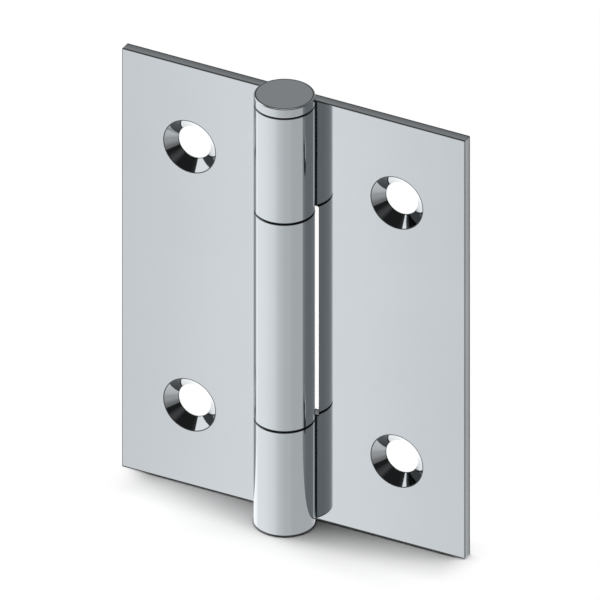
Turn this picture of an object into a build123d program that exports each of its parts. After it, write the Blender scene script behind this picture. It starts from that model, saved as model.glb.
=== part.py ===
from build123d import *

import os
from math import asin, degrees, sqrt

# A rolled leaf hinge in sheet steel: two flat leaves whose tabs are curled round one headed pin.
# The pin's axis is the Z axis and the leaves stand on Z = 0. They lie open, flat, along X.
# Their backs, which are screwed to door and frame, face +Y, and the knuckles stand out towards -Y.

# Leaves
leaf_height = 60.0
leaf_width = 24.0  # from the pin's axis to the leaf's outer edge
sheet = 1.5
edge_radius = 0.15  # rounding of every blanked edge

# Knuckles
bottom_knuckle = 15.0  # height given to the bottom knuckle
top_knuckle = 15.2  # height given to the top knuckle
knuckle_gap = 0.1  # between the ends of two neighbouring knuckles
seam_gap = 0.15  # the curled end stops this far short of the front of its own leaf
notch_clearance = 0.4  # from a notch's front corner to the knuckle that turns in it
notch_radius = 0.2  # inside corners where a tab leaves its leaf

# Pin
pin_diameter = 4.5
running_clearance = 0.05  # between the pin and every bore, all round
head_height = 1.3
head_edge = 0.15  # rounding of the head's two rims
rivet_flare = 0.4  # the pin's lower end spreads by this much, over the same height

# Screw holes
hole_diameter = 4.5
countersink_diameter = 7.2
countersink_angle = 90
hole_from_axis = 14.5
hole_spacing = 37.0

# Sizes that follow from those above
pin_radius = pin_diameter / 2
bore_radius = pin_radius + running_clearance
knuckle_radius = bore_radius + sheet
front = bore_radius  # the flat of a leaf runs tangent to its bore in front
back = front + sheet  # and tangent to its knuckle behind
notch_edge = sqrt((knuckle_radius + notch_clearance) ** 2 - front**2)
seam_angle = degrees(asin((front - seam_gap) / knuckle_radius))
curl = 270 + seam_angle  # turn of a tab, from the back of the leaf round to its front
lower_joint = bottom_knuckle
upper_joint = leaf_height - top_knuckle
half_gap = knuckle_gap / 2


def rolled_leaf(side: int, tabs: list[tuple[float, float]]) -> BuildPart:
    """One leaf, to the right of the pin (side 1) or to its left (side -1).

    The flat runs from the notch edge to the outer edge. Each tab, given by its lower and upper end,
    leaves the flat at the notch edge and is curled round the pin into a knuckle.
    """
    with BuildPart() as leaf:
        with BuildSketch(Plane.XY):
            with Locations((side * (notch_edge + leaf_width) / 2, (front + back) / 2)):
                Rectangle(leaf_width - notch_edge, sheet)
        extrude(amount=leaf_height)

        for low, high in tabs:
            with BuildSketch(Plane.XY.offset(low)):
                with BuildLine():
                    outside = CenterArc((0, 0), knuckle_radius, 90, side * curl)
                    inside = CenterArc((0, 0), bore_radius, 90, side * curl)
                    Line(outside @ 1, inside @ 1)
                    Polyline(
                        outside @ 0,
                        (side * notch_edge, back),
                        (side * notch_edge, front),
                        inside @ 0,
                    )
                make_face()
            extrude(amount=high - low)

        within_height = dict(axis=Axis.Z, minimum=0, maximum=leaf_height, inclusive=(False, False))
        tab_roots = leaf.edges().filter_by(Axis.Y).filter_by_position(**within_height)
        fillet(tab_roots, notch_radius)

        # Every sharp edge is rounded. The lines where the flat runs on into a curl or a tab root are left.
        bend_lines = leaf.edges().filter_by(Axis.Z).filter_by_position(Axis.X, -sheet / 2, sheet / 2)
        root_lines = leaf.edges().filter_by(Axis.Y).filter_by_position(**within_height)
        fillet(leaf.edges() - bend_lines - root_lines, edge_radius)

        hole_line = Plane(
            (side * hole_from_axis, front, leaf_height / 2),
            x_dir=(1, 0, 0),
            z_dir=(0, -1, 0),
        )
        with Locations(hole_line):
            with Locations((0, -hole_spacing / 2), (0, hole_spacing / 2)):
                CounterSinkHole(
                    hole_diameter / 2,
                    countersink_diameter / 2,
                    counter_sink_angle=countersink_angle,
                )
    return leaf


# The left leaf has the middle knuckle
left_leaf = rolled_leaf(-1, [(lower_joint + half_gap, upper_joint - half_gap)])
left_leaf.part.label = "left_leaf"

# The right leaf has the bottom and the top knuckle
right_leaf = rolled_leaf(1, [(0, lower_joint - half_gap), (upper_joint + half_gap, leaf_height)])
with right_leaf:
    # Mouth of the bottom bore, which the riveted end of the pin fills
    Cone(
        bore_radius + rivet_flare,
        bore_radius,
        rivet_flare,
        align=(Align.CENTER, Align.CENTER, Align.MIN),
        mode=Mode.SUBTRACT,
    )
right_leaf.part.label = "right_leaf"

# The pin's head is as wide as the knuckles and seats on the top one
with BuildPart() as hinge_pin:
    with BuildSketch(Plane.XZ):
        with BuildLine():
            Polyline(
                (0, 0),
                (pin_radius + rivet_flare, 0),
                (pin_radius, rivet_flare),
                (pin_radius, leaf_height),
                (knuckle_radius, leaf_height),
                (knuckle_radius, leaf_height + head_height),
                (0, leaf_height + head_height),
                close=True,
            )
        make_face()
    revolve(axis=Axis.Z)
    head_rims = hinge_pin.edges().filter_by(GeomType.CIRCLE).sort_by(SortBy.RADIUS)[-2:]
    fillet(head_rims, head_edge)
hinge_pin.part.label = "hinge_pin"

os.makedirs("parts", exist_ok=True)
export_step(left_leaf.part, "parts/left_leaf.step")
export_step(right_leaf.part, "parts/right_leaf.step")
export_step(hinge_pin.part, "parts/hinge_pin.step")
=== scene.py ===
"""Studio scene of a rolled leaf hinge in polished steel.

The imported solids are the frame. Each leaf is drawn as the sheet it is made from: a flat blank with its
tabs is worked out in the plane, its blanked edges are rounded, and a bend map rolls the tabs round the
pin. The pin is a turned profile. Sizes are in millimetres, as on a workshop drawing, and become metres
when a mesh is sewn.
"""

import logging
from dataclasses import dataclass, field
from enum import Enum
from functools import reduce
from math import asin, cos, pi, radians, sin, sqrt, tan
from typing import Any

import bpy
import numpy as np
import numpy.typing as npt
from mathutils import Matrix, Vector
from mathutils.geometry import delaunay_2d_cdt


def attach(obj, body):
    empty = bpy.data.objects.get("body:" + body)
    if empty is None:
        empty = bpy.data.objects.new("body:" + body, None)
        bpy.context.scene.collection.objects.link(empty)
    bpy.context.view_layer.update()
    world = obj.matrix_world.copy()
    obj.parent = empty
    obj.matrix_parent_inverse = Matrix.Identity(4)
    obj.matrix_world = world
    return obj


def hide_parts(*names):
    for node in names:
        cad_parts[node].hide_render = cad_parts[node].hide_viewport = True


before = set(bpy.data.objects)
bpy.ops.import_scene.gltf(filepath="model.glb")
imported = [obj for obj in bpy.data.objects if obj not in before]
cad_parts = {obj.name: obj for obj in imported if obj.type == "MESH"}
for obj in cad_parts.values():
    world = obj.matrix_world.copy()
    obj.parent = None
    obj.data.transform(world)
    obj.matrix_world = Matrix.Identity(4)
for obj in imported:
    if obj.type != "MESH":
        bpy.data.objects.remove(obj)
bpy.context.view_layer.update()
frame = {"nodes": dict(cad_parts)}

Array = npt.NDArray[np.float64]
Indices = npt.NDArray[np.int64]
Span = tuple[float, float]
Colour = tuple[float, float, float]
Way = tuple[float, float, float]
Tree = bpy.types.NodeTree
Socket = bpy.types.NodeSocket
Sockets = bpy.types.NodeOutputs
Value = Socket | float
Material = bpy.types.Material
SceneObject = bpy.types.Object

MM = 0.001
WELD = 1e-5  # points of neighbouring patches closer than this, in millimetres, are one vertex
SHEET_MAP = "sheet"  # a mesh's map of flat coordinates, in millimetres
UP: Way = (0.0, 0.0, 1.0)
DOWN: Way = (0.0, 0.0, -1.0)

log = logging.getLogger("leaf_hinge")


class Side(Enum):
    """The side of the pin that a leaf's flat lies on, as the sign of X."""

    LEFT = -1
    RIGHT = 1


class Patch(Enum):
    """The kinds of surface on a piece, as the index of the finish that each one gets."""

    FACE = 0
    BREAK = 1
    EDGE = 2
    COUNTERSINK = 3


class SocketKind(Enum):
    """The kinds of socket on a node group, as their type names."""

    VALUE = "NodeSocketFloat"
    VECTOR = "NodeSocketVector"
    COLOUR = "NodeSocketColor"


# Paths and patches


@dataclass(frozen=True)
class Path:
    """Points along a flat path, and at each one the unit normal to the path's left."""

    points: Array
    normals: Array


def unit(vectors: Array) -> Array:
    """Vectors scaled to length 1 along their last axis."""
    return vectors / np.linalg.norm(vectors, axis=-1, keepdims=True)


def rounded_corners(corners: Array, radii: Array, steps: int) -> tuple[Array, Array]:
    """Arcs that round the corners of a closed polygon.

    At a corner that turns by an angle t, an arc of radius r starts r * tan(t / 2) before the corner. Its
    centre lies r away, on the side that the path turns to. The left normal turns evenly from one side's to
    the next's.

    Args:
        corners: the polygon's corners in order, one a row.
        radii: the radius at each corner.
        steps: chords in each arc.

    Returns:
        The arcs' points and their left normals, each shaped (corners, steps + 1, 2).
    """
    heading_in = unit(corners - np.roll(corners, 1, axis=0))
    heading_out = np.roll(heading_in, -1, axis=0)
    cross = heading_in[:, 0] * heading_out[:, 1] - heading_in[:, 1] * heading_out[:, 0]
    turn = np.arctan2(cross, np.sum(heading_in * heading_out, axis=1))
    start = corners - heading_in * (radii * np.tan(np.abs(turn) / 2))[:, None]
    left = np.stack([-heading_in[:, 1], heading_in[:, 0]], axis=1)
    offset = np.sign(turn) * radii
    centre = start + left * offset[:, None]
    angle = np.arctan2(left[:, 1], left[:, 0])[:, None] + turn[:, None] * np.linspace(0, 1, steps + 1)
    normals = np.stack([np.cos(angle), np.sin(angle)], axis=2)
    return centre[:, None] - normals * offset[:, None, None], normals


def rounded_profile(corners: list[tuple[float, float, float]], steps: int) -> Path:
    """An open path with rounded corners.

    Args:
        corners: X, Y and radius of each corner; the two ends have no radius.
        steps: chords in each arc.

    Returns:
        The path from the first end to the last, with left normals.
    """
    table = np.array(corners)
    points, normals = rounded_corners(table[:, :2], table[:, 2], steps)
    points, normals = points[1:-1].reshape(-1, 2), normals[1:-1].reshape(-1, 2)
    return Path(
        np.concatenate([table[:1, :2], points, table[-1:, :2]]),
        np.concatenate([normals[:1], normals, normals[-1:]]),
    )


def path_lengths(points: Array) -> Array:
    """Distance along a path from its first point to each of its points."""
    steps = np.linalg.norm(np.diff(points, axis=0), axis=1)
    return np.concatenate([[0.0], np.cumsum(steps)])


def grid_quads(rows: int, columns: int) -> Indices:
    """The quads between the points of a grid, as four point numbers each."""
    ids = np.arange(rows * columns).reshape(rows, columns)
    return np.stack([ids[:-1, :-1], ids[:-1, 1:], ids[1:, 1:], ids[1:, :-1]], axis=-1).reshape(-1, 4)


def placed(name: str, data: bpy.types.ID) -> SceneObject:
    """Puts new data into the scene as an object at the origin.

    Args:
        name: the object's name.
        data: its mesh, lamp or camera.

    Returns:
        The object.
    """
    made = bpy.data.objects.new(name, data)
    bpy.context.scene.collection.objects.link(made)
    return made


@dataclass
class Patchwork:
    """The patches of one piece, which are sewn into a closed mesh at the end."""

    patches: list[tuple[Array, Array, Array, Indices, Indices]] = field(default_factory=list)
    count: int = 0

    def add(self, points: Array, normals: Array, uvs: Array, corners: Indices, finishes: Indices) -> None:
        """Adds a patch from its points and its faces.

        Args:
            points: places, one a row, in millimetres.
            normals: the outward normal at each point.
            uvs: flat coordinates of each point, in millimetres.
            corners: four point numbers a face; a triangle repeats its last one.
            finishes: the kind of surface of each face.
        """
        self.patches.append((points, normals, uvs, corners + self.count, finishes))
        self.count += len(points)

    def add_grid(self, points: Array, normals: Array, uvs: Array, finishes: Indices | int) -> None:
        """Adds a grid of two parameters as a patch of quads.

        Args:
            points: places, shaped (rows, columns, 3), in millimetres.
            normals: the outward normal at each point.
            uvs: flat coordinates of each point, in millimetres.
            finishes: the kind of surface, one for all quads or shaped (rows - 1, columns - 1).
        """
        rows, columns = points.shape[:2]
        kinds = np.broadcast_to(finishes, (rows - 1, columns - 1)).ravel()
        rowwise = points.reshape(-1, 3), normals.reshape(-1, 3), uvs.reshape(-1, 2)
        self.add(*rowwise, grid_quads(rows, columns), kinds)

    def sew(self, name: str, materials: list[Material]) -> SceneObject:
        """Welds the patches along their shared borders into one mesh object.

        Faces are turned to agree with their points' normals. A quad with a side of no length becomes a
        triangle.

        Args:
            name: the object's name.
            materials: the finishes, in the order of Patch.

        Returns:
            The object, at the origin, in metres.
        """
        points, normals, uvs, corners, finishes = map(np.concatenate, zip(*self.patches))
        keys = np.round(points / WELD).astype(np.int64)
        _, first, vertex = np.unique(keys, axis=0, return_index=True, return_inverse=True)
        vertex = vertex.reshape(-1)
        summed = np.zeros((len(first), 3))
        np.add.at(summed, vertex, normals)

        place = points[corners]
        facing = np.cross(place[:, 2] - place[:, 0], place[:, 3] - place[:, 1])
        inward = np.sum(facing * normals[corners].sum(axis=1), axis=1) < 0
        corners[inward] = corners[inward, ::-1]
        repeats = vertex[corners] == np.roll(vertex[corners], -1, axis=1)
        whole, three = repeats.sum(axis=1) == 0, repeats.sum(axis=1) == 1
        quads = corners[whole]
        triangles = corners[three][~repeats[three]].reshape(-1, 3)

        mesh = bpy.data.meshes.new(name)
        mesh.from_pydata(points[first] * MM, [], vertex[quads].tolist() + vertex[triangles].tolist())
        for material in materials:
            mesh.materials.append(material)
        mesh.polygons.foreach_set("material_index", np.concatenate([finishes[whole], finishes[three]]))
        mesh.polygons.foreach_set("use_smooth", np.ones(len(mesh.polygons), dtype=bool))
        flat = mesh.uv_layers.new(name=SHEET_MAP)
        loops = np.concatenate([quads.ravel(), triangles.ravel()])
        flat.data.foreach_set("uv", uvs[loops].ravel().astype(np.float32))
        mesh.normals_split_custom_set_from_vertices(unit(summed))
        mesh.update()
        return placed(name, mesh)


def turned_grid(profile: Path, angles: Array, outward: float) -> tuple[Array, Array, Array]:
    """A profile carried round an axis.

    Each profile point, at radius r and height h, goes to (r cos a, r sin a, h) at every angle a.

    Args:
        profile: radius and height along the profile.
        angles: the angles, in radians.
        outward: 1 where the left normal points out of the material, -1 where the right one does.

    Returns:
        Points, normals and flat coordinates, shaped (angles, profile points, values).
    """
    cosine, sine = np.cos(angles)[:, None], np.sin(angles)[:, None]
    shape = (len(angles), len(profile.points))
    radius, height = profile.points.T
    across, along = outward * profile.normals.T
    points = np.stack([cosine * radius, sine * radius, np.broadcast_to(height, shape)], axis=-1)
    normals = np.stack([cosine * across, sine * across, np.broadcast_to(along, shape)], axis=-1)
    round_way = np.broadcast_to(angles[:, None] * radius.max(), shape)
    long_way = np.broadcast_to(path_lengths(profile.points), shape)
    return points, normals, np.stack([round_way, long_way], axis=-1)


def fill_flat(outer: Array, holes: list[Array]) -> tuple[Array, Indices]:
    """Triangles over a flat outline with holes.

    All loops are triangulated together, with their sides kept, and a triangle between three points of one
    hole's rim is left out.

    Args:
        outer: the outline's points in order.
        holes: each hole's rim, in order.

    Returns:
        The points of all loops, and faces of four point numbers that repeat the last one.
    """
    distinct = np.linalg.norm(outer - np.roll(outer, 1, axis=0), axis=1) > WELD
    loops = [outer[distinct], *holes]
    points = np.concatenate(loops)
    owner = np.repeat(np.arange(len(loops)), [len(loop) for loop in loops])
    start = np.searchsorted(owner, owner)
    size = np.bincount(owner)[owner]
    ids = np.arange(len(points))
    edges = np.stack([ids, start + (ids - start + 1) % size], axis=1)
    inside_loops = 1
    _, _, faces, sources, _, _ = delaunay_2d_cdt(
        [Vector(point) for point in points], edges.tolist(), [], inside_loops, WELD
    )
    source = np.array([found[0] for found in sources])
    triangles = source[np.array(faces)]
    owners = owner[triangles]
    in_hole = (owners[:, 0] > 0) & (owners == owners[:, :1]).all(axis=1)
    triangles = triangles[~in_hole]
    return points, np.concatenate([triangles, triangles[:, 2:]], axis=1)


# Shader nodes


@dataclass(frozen=True)
class Wiring:
    """A node tree at work: adds nodes to it and connects them."""

    tree: Tree

    @classmethod
    def bare(cls, owner: Material | bpy.types.World) -> "Wiring":
        """Starts the nodes of a material or a world afresh.

        Args:
            owner: the material or the world.

        Returns:
            The wiring of its tree, which holds no node yet.
        """
        owner.use_nodes = True
        owner.node_tree.nodes.clear()
        return cls(owner.node_tree)

    def node(self, kind: str, inputs: dict[str | int, Any] | None = None, **settings: Any) -> Sockets:
        """Adds a node and connects it.

        Args:
            kind: the node's type name.
            inputs: what each input socket gets, a value or another node's output socket.
            **settings: the node's own properties.

        Returns:
            The node's output sockets.
        """
        made = self.tree.nodes.new(kind)
        for key, value in settings.items():
            setattr(made, key, value)
        for key, value in (inputs or {}).items():
            if isinstance(value, Socket):
                self.tree.links.new(value, made.inputs[key])
            else:
                made.inputs[key].default_value = value
        return made.outputs

    def calc(self, operation: str, *values: Value) -> Socket:
        """The result of a Math node on up to three values."""
        return self.node("ShaderNodeMath", dict(enumerate(values)), operation=operation)[0]

    def times(self, *factors: Value) -> Socket:
        """The product of two or more values."""
        return reduce(lambda product, factor: self.calc("MULTIPLY", product, factor), factors)

    def ease(self, value: Socket, span: Span, low: Value, high: Value) -> Socket:
        """Eases from low to high, smoothly, while a value goes from the start of a span to its end."""
        inputs = {"Value": value, "From Min": span[0], "From Max": span[1], "To Min": low, "To Max": high}
        return self.node("ShaderNodeMapRange", inputs, interpolation_type="SMOOTHSTEP")[0]

    def within(self, value: Socket, span: Span) -> Socket:
        """1 where a value lies within a span, and 0 elsewhere."""
        low, high = span
        return self.times(self.calc("GREATER_THAN", value, low), self.calc("LESS_THAN", value, high))

    def scaled(self, vector: Socket, factor: Value) -> Socket:
        """A vector or colour multiplied by a factor."""
        return self.node("ShaderNodeVectorMath", {0: vector, "Scale": factor}, operation="SCALE")[0]

    def along(self, vector: Socket, way: Way) -> Socket:
        """How far a vector points along a direction: their dot product."""
        return self.node("ShaderNodeVectorMath", {0: vector, 1: way}, operation="DOT_PRODUCT")["Value"]

    def parts(self, vector: Socket) -> Sockets:
        """The three parts of a vector."""
        return self.node("ShaderNodeSeparateXYZ", {0: vector})

    def noise(self, place: Socket, scale: float, detail: float = 2.0) -> Socket:
        """Noise between 0 and 1 at a place."""
        return self.node("ShaderNodeTexNoise", {"Vector": place, "Scale": scale, "Detail": detail})[0]

    def millimetres(self) -> Socket:
        """The piece's own coordinates, in millimetres."""
        return self.scaled(self.node("ShaderNodeTexCoord")["Object"], 1 / MM)


@dataclass
class SharedEffects:
    """Node groups that more than one finish uses, each built once."""

    line_detail: float = 3.0  # octaves of finer noise in the buffing lines
    patch_scale: float = 0.16  # of the patches in which the lines show more
    patch_noise: Span = (0.38, 0.66)  # noise at which such a patch starts and at which it is full
    least_shown: float = 0.25  # share with which the lines show outside the patches
    cloud_scale: float = 0.07  # of the broad clouds of brightness
    mottle_scale: float = 0.9  # of the finer mottle
    mottle_share: float = 0.3  # strength of the mottle beside that of the clouds
    buffing: Tree = field(init=False)
    tone: Tree = field(init=False)

    def __post_init__(self) -> None:
        """Builds the groups."""
        self.buffing, self.tone = self._buffing(), self._tone()

    @staticmethod
    def _group(
        name: str, inputs: dict[str, SocketKind], outputs: dict[str, SocketKind]
    ) -> tuple[Wiring, Sockets]:
        """Starts a node group.

        Args:
            name: the group's name.
            inputs: the kind of each input socket.
            outputs: the kind of each output socket.

        Returns:
            The group's wiring, and the sockets that bring its inputs.
        """
        group = bpy.data.node_groups.new(name, "ShaderNodeTree")
        for way, sockets in (("INPUT", inputs), ("OUTPUT", outputs)):
            for label, kind in sockets.items():
                group.interface.new_socket(label, in_out=way, socket_type=kind.value)
        wires = Wiring(group)
        return wires, wires.node("NodeGroupInput")

    def _buffing(self) -> Tree:
        """Fine buffing lines: noise drawn out along the lines, with patches where they show more.

        Returns:
            The group.
        """
        wires, given = self._group(
            "buffing_lines",
            {"Place": SocketKind.VECTOR, "Lines per mm": SocketKind.VALUE, "Draw out": SocketKind.VALUE},
            {"Height": SocketKind.VALUE, "Dullness": SocketKind.VALUE},
        )
        slow = wires.calc("DIVIDE", given["Lines per mm"], given["Draw out"])
        scale = wires.node("ShaderNodeCombineXYZ", {0: given["Lines per mm"], 1: slow, 2: slow})[0]
        drawn = wires.node("ShaderNodeVectorMath", {0: given["Place"], 1: scale}, operation="MULTIPLY")[0]
        lines = wires.noise(drawn, 1.0, self.line_detail)
        patches = wires.noise(given["Place"], self.patch_scale)
        shown = wires.ease(patches, self.patch_noise, self.least_shown, 1.0)
        wires.node("NodeGroupOutput", {"Height": lines, "Dullness": wires.times(lines, shown)})
        return wires.tree

    def _tone(self) -> Tree:
        """Slight changes of brightness over a metal face: broad clouds and a finer mottle.

        Returns:
            The group.
        """
        wires, given = self._group(
            "metal_tone",
            {"Place": SocketKind.VECTOR, "Colour": SocketKind.COLOUR, "Spread": SocketKind.VALUE},
            {"Colour": SocketKind.COLOUR},
        )
        clouds = wires.noise(given["Place"], self.cloud_scale)
        mottle = wires.noise(given["Place"], self.mottle_scale)
        both = wires.calc("MULTIPLY_ADD", mottle, self.mottle_share, clouds)
        swing = wires.calc("SUBTRACT", both, (1.0 + self.mottle_share) / 2)
        factor = wires.calc("MULTIPLY_ADD", swing, given["Spread"], 1.0)
        wires.node("NodeGroupOutput", {"Colour": wires.scaled(given["Colour"], factor)})
        return wires.tree


@dataclass(frozen=True)
class SteelFinish:
    """A bright steel surface with buffing lines."""

    name: str
    colour: Colour
    roughness: float  # where the buffing shows least
    dulling: float  # what the buffing lines add to the roughness
    lines_per_mm: float
    draw_out: float  # how much longer than wide a line is
    relief: float  # height of the lines, in metres
    spread: float  # how much the brightness changes over a face
    mirrored: float = 0.41  # share of the brightness with which the metal shows in a neighbour's polish, a painted shade in reflections

    def material(self, effects: SharedEffects) -> Material:
        """Makes the material.

        Args:
            effects: the shared node groups.

        Returns:
            The material.
        """
        made = bpy.data.materials.new(self.name)
        wires = Wiring.bare(made)
        lines = {"Place": self.place(wires), "Lines per mm": self.lines_per_mm, "Draw out": self.draw_out}
        buffing = wires.node("ShaderNodeGroup", lines, node_tree=effects.buffing)
        clouds = {"Place": wires.millimetres(), "Colour": (*self.colour, 1.0), "Spread": self.spread}
        tone = wires.node("ShaderNodeGroup", clouds, node_tree=effects.tone)["Colour"]
        rough = wires.calc("MULTIPLY_ADD", buffing["Dullness"], self.dulling, self.roughness)
        relief = {"Height": buffing["Height"], "Strength": 1.0, "Distance": self.relief}
        metal = {
            "Base Color": self._reflected(wires, self.shade(wires, tone)),
            "Metallic": 1.0,
            "Roughness": self.age(wires, rough),
            "Normal": wires.node("ShaderNodeBump", relief)[0],
        }
        shader = wires.node("ShaderNodeBsdfPrincipled", metal)[0]
        wires.node("ShaderNodeOutputMaterial", {"Surface": shader})
        return made

    def _reflected(self, wires: Wiring, colour: Socket) -> Socket:
        """Paints shade into reflections: dims the colour for rays that come from another polished surface.

        Args:
            wires: the material's wiring.
            colour: the colour as it is seen.

        Returns:
            The colour as it is seen or mirrored.
        """
        glossy = wires.node("ShaderNodeLightPath")["Is Glossy Ray"]
        dimmed = wires.calc("SUBTRACT", self.mirror_share(wires), 1.0)
        return wires.scaled(colour, wires.calc("MULTIPLY_ADD", glossy, dimmed, 1.0))

    def mirror_share(self, wires: Wiring) -> Value:
        """Share of the brightness, under the painted shade in reflections, that shows in a neighbour's
        polish; the same all over here.
        """
        return self.mirrored

    def place(self, wires: Wiring) -> Socket:
        """Coordinates that the buffing lines follow: the flat sheet's, so that they run on round a curl."""
        return wires.node("ShaderNodeUVMap", uv_map=SHEET_MAP)[0]

    def shade(self, wires: Wiring, colour: Socket) -> Socket:
        """The colour with what time and the making leave on it, and any painted shade; plain here."""
        return colour

    def age(self, wires: Wiring, rough: Socket) -> Socket:
        """The roughness with what time and the making leave on it; plain here."""
        return rough


@dataclass(frozen=True)
class LeafFace(SteelFinish):
    """A leaf's polished face, with painted shade that keeps it brightest beside the knuckle and a little
    darker towards its outer edge.
    """

    fade: Span = (3.0, 26.0)  # distances from the pin at which the brightness starts and ends its fall, a painted shade
    painted_outer_shade: float = 0.88  # share of the brightness that the painted shade leaves at the outer edge
    seam_glint_strip: Span = (0.0, 4.1)  # flat coordinates of the strip beside the seam, a painted highlight where it shows in the knuckle
    middle_knuckle: Span = (15.0, 44.8)  # heights of the left leaf's knuckle, between the right leaf's two
    foot_shade_band: Span = (0.18, 0.25)  # heights between which the painted shade along the foot, where it meets the floor, ends
    head_shade_band: Span = (59.74, 59.8)  # heights between which the painted shadow under the pin's head starts
    shade_band_tone: float = 0.0  # share of the brightness in those lines of painted shade

    def mirror_share(self, wires: Wiring) -> Value:
        """A painted highlight: full brightness in the strip beside a leaf's own seam, and the plain share
        elsewhere.

        A place is beside its own leaf's seam where it is either on the right leaf or at the heights of the
        left leaf's knuckle, but not both.

        Args:
            wires: the material's wiring.

        Returns:
            The share.
        """
        u, _, _ = wires.parts(self.place(wires))
        x, _, z = wires.parts(wires.millimetres())
        on_right, middle = wires.calc("GREATER_THAN", x, 0.0), wires.within(z, self.middle_knuckle)
        beside_own = wires.calc("ABSOLUTE", wires.calc("SUBTRACT", on_right, middle))
        # painted highlight: the strip beside its own seam shows at full brightness in the knuckle's polish
        bright = wires.times(wires.within(u, self.seam_glint_strip), beside_own)
        return wires.calc("MULTIPLY_ADD", bright, 1.0 - self.mirrored, self.mirrored)

    def shade(self, wires: Wiring, colour: Socket) -> Socket:
        """Paints shade: lets the brightness fall with the distance from the pin, and draws dark lines of
        painted shade at the foot and under the head.

        Args:
            wires: the material's wiring.
            colour: the plain colour.

        Returns:
            The shaded colour.
        """
        u, _, _ = wires.parts(self.place(wires))
        x, _, z = wires.parts(wires.millimetres())
        # painted shade: darker away from the pin
        tone = wires.ease(wires.calc("ABSOLUTE", x), self.fade, 1.0, self.painted_outer_shade)
        # painted shade along the foot, and painted shadow under the pin's head on the curls
        foot = wires.ease(z, self.foot_shade_band, self.shade_band_tone, 1.0)
        head_shade = wires.ease(z, self.head_shade_band, 0.0, 1.0 - self.shade_band_tone)
        line = wires.times(wires.calc("LESS_THAN", u, 0.0), head_shade)
        return wires.scaled(colour, wires.times(tone, foot, wires.calc("SUBTRACT", 1.0, line)))


@dataclass(frozen=True)
class BlankedEdge(SteelFinish):
    """A sheared edge: burnished next to the front, and torn and duller from there to the back."""

    burnished: Span = (0.5, 0.8)  # depths at which the burnished band starts to tear and is all torn
    torn_tone: float = 0.8  # share of the brightness on the torn band
    torn_roughness: float = 0.16  # what the torn band adds to the roughness
    burr: Span = (1.12, 1.2)  # depths between which the dark burr at the back starts
    burr_tone: float = 0.25  # share of the brightness on the burr

    def shade(self, wires: Wiring, colour: Socket) -> Socket:
        """Darkens the torn band and the burr."""
        torn = wires.ease(self._depth(wires), self.burnished, 1.0, self.torn_tone)
        return wires.scaled(colour, wires.ease(self._depth(wires), self.burr, torn, self.burr_tone))

    def age(self, wires: Wiring, rough: Socket) -> Socket:
        """Dulls the torn band."""
        torn = wires.ease(self._depth(wires), self.burnished, 0.0, self.torn_roughness)
        return wires.calc("ADD", rough, torn)

    def _depth(self, wires: Wiring) -> Socket:
        """Depth below the sheet's front, from the flat coordinates."""
        return wires.parts(self.place(wires))[1]


@dataclass(frozen=True)
class EdgeBreak(SteelFinish):
    """A dark broken edge, with painted shade that makes it darkest at the foot of the hinge."""

    foot: Span = (0.3, 0.6)  # heights at which the painted shade at the foot ends and the plain colour starts
    foot_shade_tone: float = 0.12  # share of the brightness under the painted shade at the foot

    def shade(self, wires: Wiring, colour: Socket) -> Socket:
        """Paints shade on the foot."""
        _, _, z = wires.parts(wires.millimetres())
        return wires.scaled(colour, wires.ease(z, self.foot, self.foot_shade_tone, 1.0))


@dataclass(frozen=True)
class TurnedSteel(SteelFinish):
    """A lathe-turned surface, whose fine rings follow the turning tool."""

    def place(self, wires: Wiring) -> Socket:
        """Flat coordinates with the way along the profile first, so that the lines run round the axis."""
        round_way, long_way, _ = wires.parts(super().place(wires))
        return wires.node("ShaderNodeCombineXYZ", {0: long_way, 1: round_way})[0]


# The hinge


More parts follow.
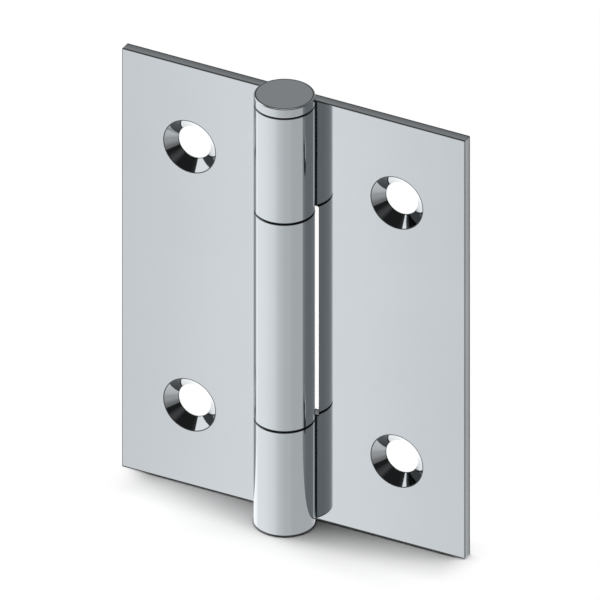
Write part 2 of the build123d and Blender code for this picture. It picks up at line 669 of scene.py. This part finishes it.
@dataclass
class RolledLeaf:
    """A leaf: a blanked sheet with countersunk holes, whose tabs are curled round the pin.

    The blank is worked out flat. Its first coordinate u is the distance from the pin along the sheet, its
    second w the depth below the front, and its third z the height. Where u is below zero, the sheet is
    rolled.
    """

    node: str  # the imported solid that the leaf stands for
    body: str  # the body that it moves with
    side: Side
    tabs: list[Span]  # lower and upper end of each tab
    rivet_mouth: float = 0.0  # by how much the bottom bore's mouth widens for the rivet; 0 for none
    dark_end: int = 3  # steps of the outer end's roundings that are dark edge breaks
    height: float = 60.0
    width: float = 24.0  # from the pin's axis to the outer end
    sheet: float = 1.5
    edge: float = 0.15  # radius of every rounded edge and outside corner
    bore: float = 2.3  # radius of the knuckles' bores
    seam_gap: float = 0.15  # from a tab's curled end to the leaf's front
    notch_clearance: float = 0.4  # from a notch's front corner to the knuckle that turns in it
    notch_radius: float = 0.2  # of the inside corners, where a tab leaves the leaf
    hole_radius: float = 2.25
    countersink_radius: float = 3.6
    hole_break: float = 0.1  # rounding of the holes' rims
    hole_from_axis: float = 14.5
    hole_spacing: float = 37.0
    curl_steps: int = 128  # chords round a curl
    bend_steps: int = 8  # divisions of a tab between the bend and the bore's radius beyond it
    arc_steps: int = 6  # chords in a rounding
    hole_steps: int = 96  # chords round a hole

    @property
    def knuckle(self) -> float:
        """Outside radius of the knuckles."""
        return self.bore + self.sheet

    @property
    def notch(self) -> float:
        """Distance from the pin at which the notches end, clear of the knuckle that turns in them."""
        return sqrt((self.knuckle + self.notch_clearance) ** 2 - self.bore**2)

    @property
    def tip(self) -> float:
        """Flat coordinate of a tab's end, which curls round until it nearly meets the leaf's front."""
        turn = 1.5 * pi + asin((self.bore - self.seam_gap) / self.knuckle)
        return -turn * self.knuckle

    @property
    def stations(self) -> Array:
        """Flat coordinates, from a tab's end to just past the bend, at which a rolled surface is divided."""
        rolled = np.linspace(self.tip + self.edge, 0.0, self.curl_steps + 1)
        return np.concatenate([rolled, np.linspace(0.0, self.bore, self.bend_steps + 1)[1:]])

    def roll(self, points: Array, normals: Array) -> tuple[Array, Array]:
        """Bends the flat blank round the pin.

        A point at u below zero and depth w goes to radius bore + w, at the angle -u / knuckle round from
        the back of the leaf. Points beyond keep their place on the flat, which runs tangent to the curl.
        A normal turns by the same angle. A left leaf is then mirrored.

        Args:
            points: flat coordinates u, w and z in the last axis.
            normals: their normals in the same axes.

        Returns:
            Places and normals in the part's frame.
        """
        u, w, z = np.moveaxis(points, -1, 0)
        along, deep, up = np.moveaxis(normals, -1, 0)
        angle = np.maximum(-u, 0.0) / self.knuckle
        radius = self.bore + w
        x = np.maximum(u, 0.0) - radius * np.sin(angle)
        places = np.stack([self.side.value * x, radius * np.cos(angle), z], axis=-1)
        across = along * np.cos(angle) - deep * np.sin(angle)
        turned = [self.side.value * across, along * np.sin(angle) + deep * np.cos(angle), up]
        return places, np.stack(turned, axis=-1)

    def outline(self) -> Path:
        """Draws the blank's outline, anticlockwise in u and z.

        Outside corners are rounded like the edges and inside corners with the notch radius. The runs along
        a tab are divided at the stations.

        Returns:
            The outline, with inward normals.
        """
        pin_side = [(self.notch, self.height)]
        for low, high in reversed(self.tabs):
            pin_side += [(self.notch, high), (self.tip, high), (self.tip, low), (self.notch, low)]
        pin_side.append((self.notch, 0.0))
        corners = np.array([(self.width, 0.0), (self.width, self.height), *pin_side])
        same = np.all(corners == np.roll(corners, 1, axis=0), axis=1)
        corners = corners[~(same | np.roll(same, -1))]
        way = np.roll(corners, -1, axis=0) - corners
        before = np.roll(way, 1, axis=0)
        outside = before[:, 0] * way[:, 1] - before[:, 1] * way[:, 0] > 0
        radii = np.where(outside, self.edge, self.notch_radius)
        points, normals = rounded_corners(corners, radii, self.arc_steps)
        all_points, all_normals = [], []
        for arc, arc_normals, following in zip(points, normals, np.roll(points, -1, axis=0)):
            run = self._divide(arc[-1], following[0])
            all_points += [arc, run]
            all_normals += [arc_normals, np.broadcast_to(arc_normals[-1], run.shape)]
        return Path(np.concatenate(all_points), np.concatenate(all_normals))

    def _divide(self, start: Array, end: Array) -> Array:
        """Finds the stations that lie within a straight run, clear of its ends.

        Args:
            start: u and z of the run's start.
            end: u and z of its end.

        Returns:
            Points at those stations, in the run's order.
        """
        low, high = sorted((start[0], end[0]))
        clear = self.edge / 10
        within = self.stations[(self.stations > low + clear) & (self.stations < high - clear)]
        ordered = within if end[0] > start[0] else within[::-1]
        return np.stack([ordered, np.full(len(ordered), start[1])], axis=1)

    def front_round(self, u: Array, z: Array) -> Array:
        """Radius of the rounding between front and edge, for points of the outline.

        It is the plain edge rounding, except at the foot of a riveted bore. There the mouth's cone, as wide
        as the bore and the mouth together, leaves the flat at the height by which it passes the flat's
        distance from the axis.

        Args:
            u: flat coordinates of the points.
            z: their heights.

        Returns:
            The radius at each point.
        """
        cone = self.bore + self.rivet_mouth - np.hypot(np.maximum(u, 0.0), self.bore)
        foot = (z < WELD) & (u > self.tip + 2 * self.edge)
        return np.where(foot, np.maximum(cone, self.edge), self.edge)

    def add_edge(self, work: Patchwork, outline: Path) -> tuple[Array, Array]:
        """Carries the edge's profile along the outline.

        The profile is a quarter circle from the front to the wall and another from the wall to the back.
        At an angle t of the first one, it lies r * (1 - sin t) inside the outline and r * (1 - cos t) deep.
        The part of a rounding next to the wall is a dark edge break: half of it, the given steps on the
        outer end, and all of it at the foot and under the pin's head.

        Args:
            work: takes the patch.
            outline: the blank's outline.

        Returns:
            The edge's borders on the front and on the back, as flat u and z.
        """
        turn = np.linspace(0.0, pi / 2, self.arc_steps + 1)[:, None]
        front = self.front_round(*outline.points.T)
        back = np.full(len(front), self.edge)
        inset = np.concatenate([(1 - np.sin(turn)) * front, (1 - np.sin(turn[::-1])) * back])
        deep = np.concatenate([(1 - np.cos(turn)) * front, self.sheet - (1 - np.cos(turn[::-1])) * back])
        lean = np.concatenate([turn, pi - turn[::-1]])
        flat = outline.points + inset[:, :, None] * outline.normals
        out = -outline.normals * np.sin(lean)[:, :, None]
        points = np.stack([flat[:, :, 0], deep, flat[:, :, 1]], axis=-1)
        sink = np.broadcast_to(-np.cos(lean), deep.shape)
        normals = np.stack([out[:, :, 0], sink, out[:, :, 1]], axis=-1)
        closed = np.r_[0 : len(front), 0]
        way = path_lengths(outline.points[closed])
        uvs = np.stack([np.broadcast_to(way, (len(deep), len(way))), deep[:, closed]], axis=-1)
        u, z = outline.points.T
        whole = (z < self.edge / 2) | ((u < 0.0) & (z > self.height - self.edge / 2))
        steps = self.arc_steps
        dark_steps = np.select([whole, u > self.width - self.edge / 2], [steps, self.dark_end], steps // 2)
        broken = np.arange(steps)[:, None] < dark_steps
        rounding = np.where(broken, Patch.BREAK.value, Patch.EDGE.value)
        wall = np.full((1, len(u)), Patch.EDGE.value)
        finishes = np.concatenate([rounding[::-1], wall, rounding])
        work.add_grid(*self.roll(points[:, closed], normals[:, closed]), uvs, finishes)
        return flat[0], flat[-1]

    def add_curls(self, work: Patchwork) -> None:
        """Rules the inside and the outside of each curl between its two edges, station by station.

        Args:
            work: takes the patches.
        """
        u = self.stations[: self.curl_steps + 1]
        for low, high in self.tabs:
            bottom = low + self.front_round(u, np.full(len(u), low))
            for w, lower in ((0.0, bottom), (self.sheet, np.full(len(u), low + self.edge))):
                z = np.stack([lower, np.full(len(u), high - self.edge)])
                flat = np.broadcast_to(u, z.shape)
                points = np.stack([flat, np.full(z.shape, w), z], axis=-1)
                normals = np.broadcast_to([0.0, 1.0 if w else -1.0, 0.0], points.shape)
                work.add_grid(*self.roll(points, normals), np.stack([flat, z], axis=-1), Patch.FACE.value)

    def add_holes(self, work: Patchwork) -> list[tuple[Array, Array]]:
        """Turns the countersunk holes.

        The profile runs from the front over the broken rim, down the cone and through the land to the back.
        All but the cone has the edge breaks' finish.

        Args:
            work: takes the patches.

        Returns:
            Each hole's rim on the front and on the back, as flat u and z.
        """
        cone_depth = self.countersink_radius - self.hole_radius
        profile = rounded_profile(
            [
                (self.countersink_radius + self.hole_break, 0.0, 0.0),
                (self.countersink_radius, 0.0, self.hole_break),
                (self.hole_radius, cone_depth, self.hole_break),
                (self.hole_radius, self.sheet, self.hole_break / 2),
                (self.hole_radius + self.hole_break, self.sheet, 0.0),
            ],
            self.arc_steps,
        )
        angles = np.linspace(0.0, 2 * pi, self.hole_steps + 1)
        points, normals, uvs = turned_grid(profile, angles, 1.0)
        finishes = np.full(len(profile.points) - 1, Patch.BREAK.value)
        finishes[self.arc_steps + 1] = Patch.COUNTERSINK.value
        upright = [0, 2, 1]
        rims = []
        for offset in (-self.hole_spacing / 2, self.hole_spacing / 2):
            centre = [self.hole_from_axis, 0.0, self.height / 2 + offset]
            flat = points[:, :, upright] + centre
            work.add_grid(*self.roll(flat, normals[:, :, upright]), uvs, finishes)
            rims.append((flat[:-1, 0, ::2], flat[:-1, -1, ::2]))
        return rims

    def add_flats(
        self, work: Patchwork, borders: tuple[Array, Array], rims: list[tuple[Array, Array]]
    ) -> None:
        """Fills the front and the back of the flat, from the bend to the edges, round the holes.

        Args:
            work: takes the patches.
            borders: the edge's borders on the front and on the back.
            rims: each hole's rim on the front and on the back.
        """
        for level, (w, deep) in enumerate(((0.0, -1.0), (self.sheet, 1.0))):
            border = borders[level]
            points, faces = fill_flat(border[border[:, 0] > -WELD], [rim[level] for rim in rims])
            blank = np.stack([points[:, 0], np.full(len(points), w), points[:, 1]], axis=-1)
            normals = np.broadcast_to([0.0, deep, 0.0], blank.shape)
            work.add(*self.roll(blank, normals), points, faces, np.full(len(faces), Patch.FACE.value))

    def build(self, materials: list[Material]) -> SceneObject:
        """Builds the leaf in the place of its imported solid.

        Args:
            materials: the finishes, in the order of Patch.

        Returns:
            The leaf.
        """
        work = Patchwork()
        borders = self.add_edge(work, self.outline())
        self.add_curls(work)
        self.add_flats(work, borders, self.add_holes(work))
        piece = work.sew(f"{self.node}_sheet", materials)
        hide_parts(self.node)
        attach(piece, self.body)
        return piece


@dataclass
class HeadedPin:
    """The hinge pin: a turned shank with a flat head, riveted over at its foot."""

    node: str = "hinge_pin"
    body: str = "fixed_leaf"
    radius: float = 2.25
    length: float = 60.0  # from the foot to the head
    head_radius: float = 3.8
    head_height: float = 1.3
    head_edge: float = 0.15  # rounding of the head's rims
    head_ring: float = 0.14  # width of the dark ring on the head's top, beside its rim
    rivet: float = 0.25  # by how much the foot spreads, over the same height
    rivet_edge: float = 0.05  # rounding of the shank's corners
    arc_steps: int = 6
    turn_steps: int = 160  # chords round the axis

    def build(self, materials: list[Material]) -> SceneObject:
        """Carries the pin's profile, from the foot's middle to the head's, round its axis.

        A narrow ring on the head's top, beside its rim, is an edge break.

        Args:
            materials: the finishes of faces and of edge breaks.

        Returns:
            The pin.
        """
        top = self.length + self.head_height
        profile = rounded_profile(
            [
                (0.0, 0.0, 0.0),
                (self.radius + self.rivet, 0.0, self.rivet_edge),
                (self.radius, self.rivet, self.rivet_edge),
                (self.radius, self.length, self.rivet_edge),
                (self.head_radius, self.length, self.head_edge),
                (self.head_radius, top, self.head_edge),
                (self.head_radius - self.head_edge - self.head_ring, top, 0.0),
                (0.0, top, 0.0),
            ],
            self.arc_steps,
        )
        radius, height = ((profile.points[1:] + profile.points[:-1]) / 2).T
        from_rim = self.head_radius - self.head_edge - radius
        broken = (height > top - WELD) & (from_rim > 0.0) & (from_rim < self.head_ring)
        work = Patchwork()
        angles = np.linspace(0.0, 2 * pi, self.turn_steps + 1)
        finishes = np.where(broken, Patch.BREAK.value, Patch.FACE.value)
        work.add_grid(*turned_grid(profile, angles, -1.0), finishes)
        piece = work.sew(f"{self.node}_turned", materials)
        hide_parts(self.node)
        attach(piece, self.body)
        return piece


# The studio


@dataclass
class PictureCamera:
    """A camera without perspective, at the picture's angle."""

    azimuth: float = 28.08  # degrees from the hinge's front towards its right
    elevation: float = 30.55  # degrees above the floor
    scale: float = 8.1  # pixels of the picture to a millimetre
    frame: float = 600.0  # the picture's width in pixels
    right: float = 1.922  # millimetres from the foot of the pin to the picture's middle, to the right
    up: float = 27.346  # and upwards in the picture
    distance: float = 400.0  # from the picture's middle, in millimetres
    clip: Span = (0.01, 10.0)  # nearest and farthest that it sees, in metres

    def build(self) -> SceneObject:
        """Places the camera and makes it the scene's.

        Returns:
            The camera.
        """
        a, e = radians(self.azimuth), radians(self.elevation)
        right = Vector((cos(a), sin(a), 0.0))
        up = Vector((-sin(a) * sin(e), cos(a) * sin(e), cos(e)))
        back = right.cross(up)
        lens = bpy.data.cameras.new("picture_camera")
        lens.type = "ORTHO"
        lens.ortho_scale = self.frame / self.scale * MM
        lens.clip_start, lens.clip_end = self.clip
        camera = placed("picture_camera", lens)
        turn = Matrix((right, up, back)).transposed().to_4x4()
        place = (right * self.right + up * self.up + back * self.distance) * MM
        camera.matrix_world = Matrix.Translation(place) @ turn
        bpy.context.scene.camera = camera
        return camera


@dataclass
class PaleFloor:
    """A pale floor that takes the lamp's soft shadow, with painted shade in corners and at the hinge's foot
    and painted light beyond the leaves' ends. Metal shows the studio's own surround instead.
    """

    reach: float = 1.5  # from the middle to the sides, in metres
    drop: float = 2e-5  # depth below the foot of the hinge, in metres
    colour: Colour = (0.95, 0.95, 0.95)
    near: float = 0.012  # distance within which neighbours close a corner off for the painted corner shade, in metres
    open_sky: Span = (0.2, 0.66)  # share of open sky at which a corner is darkest and at which it is plain
    painted_corner_shades: Span = (0.6, 0.2)  # share of the brightness under the painted shade in a closed corner, left and right of the pin
    corner_front: Span = (-4.6, -2.6)  # Y between which the painted corner shade starts, in millimetres
    touch: float = 4e-4  # distance within which painted shade darkens the floor at the foot of the hinge, in metres
    touch_sky: Span = (0.6, 0.9)  # share of open sky at which it is darkest there and at which it is plain
    painted_touch_shades: Span = (0.6, 0.12)  # share of the brightness under that painted shade, left and right of the pin
    pin_band: Span = (-2.0, 2.0)  # X between which the left tones pass into the right ones, in millimetres
    samples: int = 8  # rays that look for neighbours
    middle: float = 1.0  # X of the shadow's middle, in millimetres
    clear: Span = (20.5, 25.5)  # distances from there along X between which the floor turns to glowing white, painted light that fades the shadow out

    def build(self) -> SceneObject:
        """Lays the floor as a grid of four quads, a hair below the foot of the hinge.

        Returns:
            The floor.
        """
        lines = np.linspace(-self.reach, self.reach, 3)
        x, y = np.meshgrid(lines, lines)
        points = np.stack([x, y, np.full_like(x, -self.drop)], axis=-1).reshape(-1, 3)
        mesh = bpy.data.meshes.new("pale_floor")
        mesh.from_pydata(points, [], grid_quads(*x.shape).tolist())
        mesh.materials.append(self.material())
        floor = placed("pale_floor", mesh)
        floor.visible_glossy = False
        floor.visible_transmission = False
        return floor

    def material(self) -> Material:
        """Mixes the floor's matt paint with painted shade in closed-off corners and at the hinge's foot, and
        with glowing white, painted light, beyond the leaves' ends.

        Returns:
            The material.
        """
        made = bpy.data.materials.new("floor_paint_and_painted_shade")
        wires = Wiring.bare(made)
        x, y, _ = wires.parts(wires.millimetres())
        # painted shade: ambient occlusion darkens the paint in closed-off corners and at the hinge's foot
        sky, touch = (
            wires.node("ShaderNodeAmbientOcclusion", {"Distance": reach}, samples=self.samples)["AO"]
            for reach in (self.near, self.touch)
        )
        both_tones = self.painted_corner_shades, self.painted_touch_shades
        corner, line = (wires.ease(x, self.pin_band, *tones) for tones in both_tones)
        corner = wires.ease(y, self.corner_front, 1.0, corner)
        tone = wires.ease(sky, self.open_sky, corner, 1.0)
        tone = wires.times(tone, wires.ease(touch, self.touch_sky, line, 1.0))
        shades = {index: wires.times(tone, value) for index, value in enumerate(self.colour)}
        colour = wires.node("ShaderNodeCombineColor", shades)[0]
        paint = wires.node("ShaderNodeBsdfDiffuse", {"Color": colour})[0]
        white = wires.node("ShaderNodeEmission")[0]
        # painted light: beyond the leaves' ends the floor glows plain white over the lamp's shadow
        from_middle = wires.calc("ABSOLUTE", wires.calc("SUBTRACT", x, self.middle))
        clear = wires.ease(from_middle, self.clear, 0.0, 1.0)
        floor = wires.node("ShaderNodeMixShader", {0: clear, 1: paint, 2: white})[0]
        wires.node("ShaderNodeOutputMaterial", {"Surface": floor})
        return made


@dataclass(frozen=True)
class Stretch:
    """A stretch of the surround that lies in one direction."""

    way: Way
    reach: Span  # how far along that way a direction points where it starts and where it is full
    level: float  # brightness, or share of it, where it is full

    def over(self, wires: Wiring, way: Socket, plain: Value) -> Socket:
        """Eases from a plain level to the stretch's own."""
        return wires.ease(wires.along(way, self.way), self.reach, plain, self.level)


@dataclass
class Studio:
    """Soft light from overhead, and the surround that the metal shows.

    Heights in the surround are sines of the angle above the horizon.
    """

    lamp_power: float = 24.0  # of the overhead softbox, in watts
    lamp_height: float = 1.5  # above the floor, in metres
    lamp_spread: Span = (15.0, 5.0)  # degrees from its middle to its ends along X and along Y
    lamp_lean: Span = (-3.0, 1.5)  # degrees by which its middle stands off the pin along X and along Y
    fill: float = 0.02  # light that reaches the floor from all round
    horizon: Span = (-0.05, 0.05)  # heights between which the upper half starts
    level: float = 0.72  # brightness of the pale surround below the horizon, straight ahead
    fade: Way = (-0.31, -0.08, 0.0)  # change of that brightness along each axis
    level_limits: Span = (0.52, 1.0)  # least and most of it
    glow: Stretch = Stretch((-0.85, 0.53, 0.0), (0.72, 0.84), 0.28)  # added by a wall at the back left
    skyline: Stretch = Stretch(UP, (-0.45, -0.08), 0.5)  # share of it at the horizon
    near_floor: Stretch = Stretch(DOWN, (0.52, 0.76), 1.4)  # share of it on the lit floor further down
    front_shade: Stretch = Stretch((0.33, -0.94, 0.0), (0.75, 0.85), 0.905)  # share of it, in front
    sunlit_floor: Stretch = Stretch((-0.85, 0.53, 0.0), (0.04, 0.1), 1.3)  # in its place at the back left
    sunlit_top: Span = (-0.58, -0.54)  # heights between which that floor ends
    dark: float = 0.02  # brightness above the horizon at the front right
    dusk: Stretch = Stretch((-0.47, 0.88, 0.0), (-0.3, 0.85), 0.30)  # and at the back left
    window: Stretch = Stretch((-0.27, -0.96, 0.0), (0.25, 0.9), 0.26)  # added by a row of windows in front
    window_foot: Span = (0.2, 0.42)  # heights between which the row starts
    window_top: Span = (0.5, 0.7)  # heights between which it ends
    overhead: Stretch = Stretch(UP, (0.86, 0.97), 0.7)  # brightness straight above
    side_box: float = 1.3  # brightness of a tall softbox on the left
    side_box_ends: Span = (57.5, 110.0)  # degrees to the left of straight ahead at which it starts and ends
    side_box_top: float = 0.75  # height of its upper end

    def build(self) -> SceneObject:
        """Hangs the lamp and sets the world.

        Returns:
            The lamp.
        """
        lamp = bpy.data.lights.new("overhead_softbox", "AREA")
        lamp.shape = "RECTANGLE"
        lamp.energy = self.lamp_power
        lamp.size, lamp.size_y = (2 * self.lamp_height * tan(radians(half)) for half in self.lamp_spread)
        hung = placed("overhead_softbox", lamp)
        x, y = (self.lamp_height * tan(radians(lean)) for lean in self.lamp_lean)
        hung.location = (x, y, self.lamp_height)
        hung.visible_glossy = False
        self.surround()
        return hung

    def surround(self) -> None:
        """Sets the world: white to the camera, an even fill to the floor, and the studio to metal."""
        world = bpy.data.worlds.new("studio")
        bpy.context.scene.world = world
        wires = Wiring.bare(world)
        way = wires.node("ShaderNodeTexCoord")["Generated"]
        halves = self._below(wires, way), self._above(wires, way)
        seen = wires.ease(wires.along(way, UP), self.horizon, *halves)
        rays = wires.node("ShaderNodeLightPath")
        for kind, level in (("Is Diffuse Ray", self.fill), ("Is Camera Ray", 1.0)):
            inputs = {"Factor": rays[kind], "A": seen, "B": level}
            seen = wires.node("ShaderNodeMix", inputs, data_type="FLOAT")[0]
        light = wires.node("ShaderNodeBackground", {"Color": (1.0, 1.0, 1.0, 1.0), "Strength": seen})[0]
        wires.node("ShaderNodeOutputWorld", {"Surface": light})

    def _below(self, wires: Wiring, way: Socket) -> Socket:
        """Brightness below the horizon.

        It changes evenly with the direction's X and Y, between its limits. A glow at the back left is
        added. The lot is dimmer at the horizon, brighter on the floor further down, and a little shaded in
        front. At the back left the sunlit floor takes its place.

        Args:
            wires: the world's wiring.
            way: the direction.

        Returns:
            The brightness.
        """
        least, most = self.level_limits
        level = wires.calc("ADD", wires.along(way, self.fade), self.level)
        level = wires.calc("MINIMUM", wires.calc("MAXIMUM", level, least), most)
        plain = wires.calc("ADD", level, self.glow.over(wires, way, 0.0))
        for share in (self.skyline, self.near_floor, self.front_shade):
            plain = wires.times(plain, share.over(wires, way, 1.0))
        sunlit = self.sunlit_floor.over(wires, way, plain)
        return wires.ease(wires.along(way, UP), self.sunlit_top, sunlit, plain)

    def _above(self, wires: Wiring, way: Socket) -> Socket:
        """Brightness above the horizon.

        It rises from dark at the front right to dusk at the back left, with a row of windows in front and a
        softbox overhead. The tall softbox on the left covers the directions between two upright planes,
        below its top.

        Args:
            wires: the world's wiring.
            way: the direction.

        Returns:
            The brightness.
        """
        z = wires.along(way, UP)
        windows = wires.times(
            self.window.over(wires, way, 0.0),
            wires.ease(z, self.window_foot, 0.0, 1.0),
            wires.ease(z, self.window_top, 1.0, 0.0),
        )
        level = wires.calc("ADD", self.dusk.over(wires, way, self.dark), windows)
        level = self.overhead.over(wires, way, level)
        start, end = (radians(angle) for angle in self.side_box_ends)
        lit = wires.calc("LESS_THAN", z, self.side_box_top)
        for inward in ((-cos(start), sin(start), 0.0), (cos(end), -sin(end), 0.0)):
            lit = wires.times(lit, wires.calc("GREATER_THAN", wires.along(way, inward), 0.0))
        return wires.calc("MAXIMUM", level, wires.times(lit, self.side_box))


FACE_STEEL = LeafFace(
    name="polished_sheet",
    colour=(0.68, 0.725, 0.755),
    roughness=0.045,
    dulling=0.03,
    lines_per_mm=14.0,
    draw_out=40.0,
    relief=2e-7,
    spread=0.05,
)
EDGE_STEEL = BlankedEdge(
    name="blanked_edge",
    colour=(0.60, 0.635, 0.66),
    roughness=0.12,
    dulling=0.10,
    lines_per_mm=9.0,
    draw_out=18.0,
    relief=1.2e-6,
    spread=0.12,
)
COUNTERSINK_STEEL = TurnedSteel(
    name="countersink",
    colour=(0.52, 0.55, 0.57),
    roughness=0.04,
    dulling=0.04,
    lines_per_mm=16.0,
    draw_out=60.0,
    relief=3e-7,
    spread=0.04,
    # a larger share shows through the painted shade in reflections here
    mirrored=0.45,
)
BREAK_STEEL = EdgeBreak(
    name="edge_break",
    colour=(0.10, 0.106, 0.11),
    roughness=0.22,
    dulling=0.10,
    lines_per_mm=9.0,
    draw_out=18.0,
    relief=1.0e-6,
    spread=0.20,
)
PIN_STEEL = TurnedSteel(
    name="turned_pin",
    colour=(0.66, 0.70, 0.73),
    roughness=0.06,
    dulling=0.08,
    lines_per_mm=11.0,
    draw_out=80.0,
    relief=5e-7,
    spread=0.05,
)
LEFT_LEAF = RolledLeaf(
    node="left_leaf",
    body="swinging_leaf",
    side=Side.LEFT,
    tabs=[(15.05, 44.75)],
    dark_end=6,
)
RIGHT_LEAF = RolledLeaf(
    node="right_leaf",
    body="fixed_leaf",
    side=Side.RIGHT,
    tabs=[(0.0, 14.95), (44.85, 60.0)],
    rivet_mouth=0.4,
)


def main() -> None:
    """Builds the hinge and the studio round it."""
    logging.basicConfig(level=logging.INFO, format="%(name)s: %(message)s")
    bpy.context.scene.view_settings.view_transform = "Standard"
    effects = SharedEffects()
    finishes = (FACE_STEEL, BREAK_STEEL, EDGE_STEEL, COUNTERSINK_STEEL)
    sheet_steel = [finish.material(effects) for finish in finishes]
    pieces = [leaf.build(sheet_steel) for leaf in (LEFT_LEAF, RIGHT_LEAF)]
    pieces.append(HeadedPin().build([PIN_STEEL.material(effects), sheet_steel[Patch.BREAK.value]]))
    for piece in pieces:
        log.info("%s: %d faces", piece.name, len(piece.data.polygons))
    PaleFloor().build()
    Studio().build()
    PictureCamera().build()


if __name__ == "__main__":
    main()
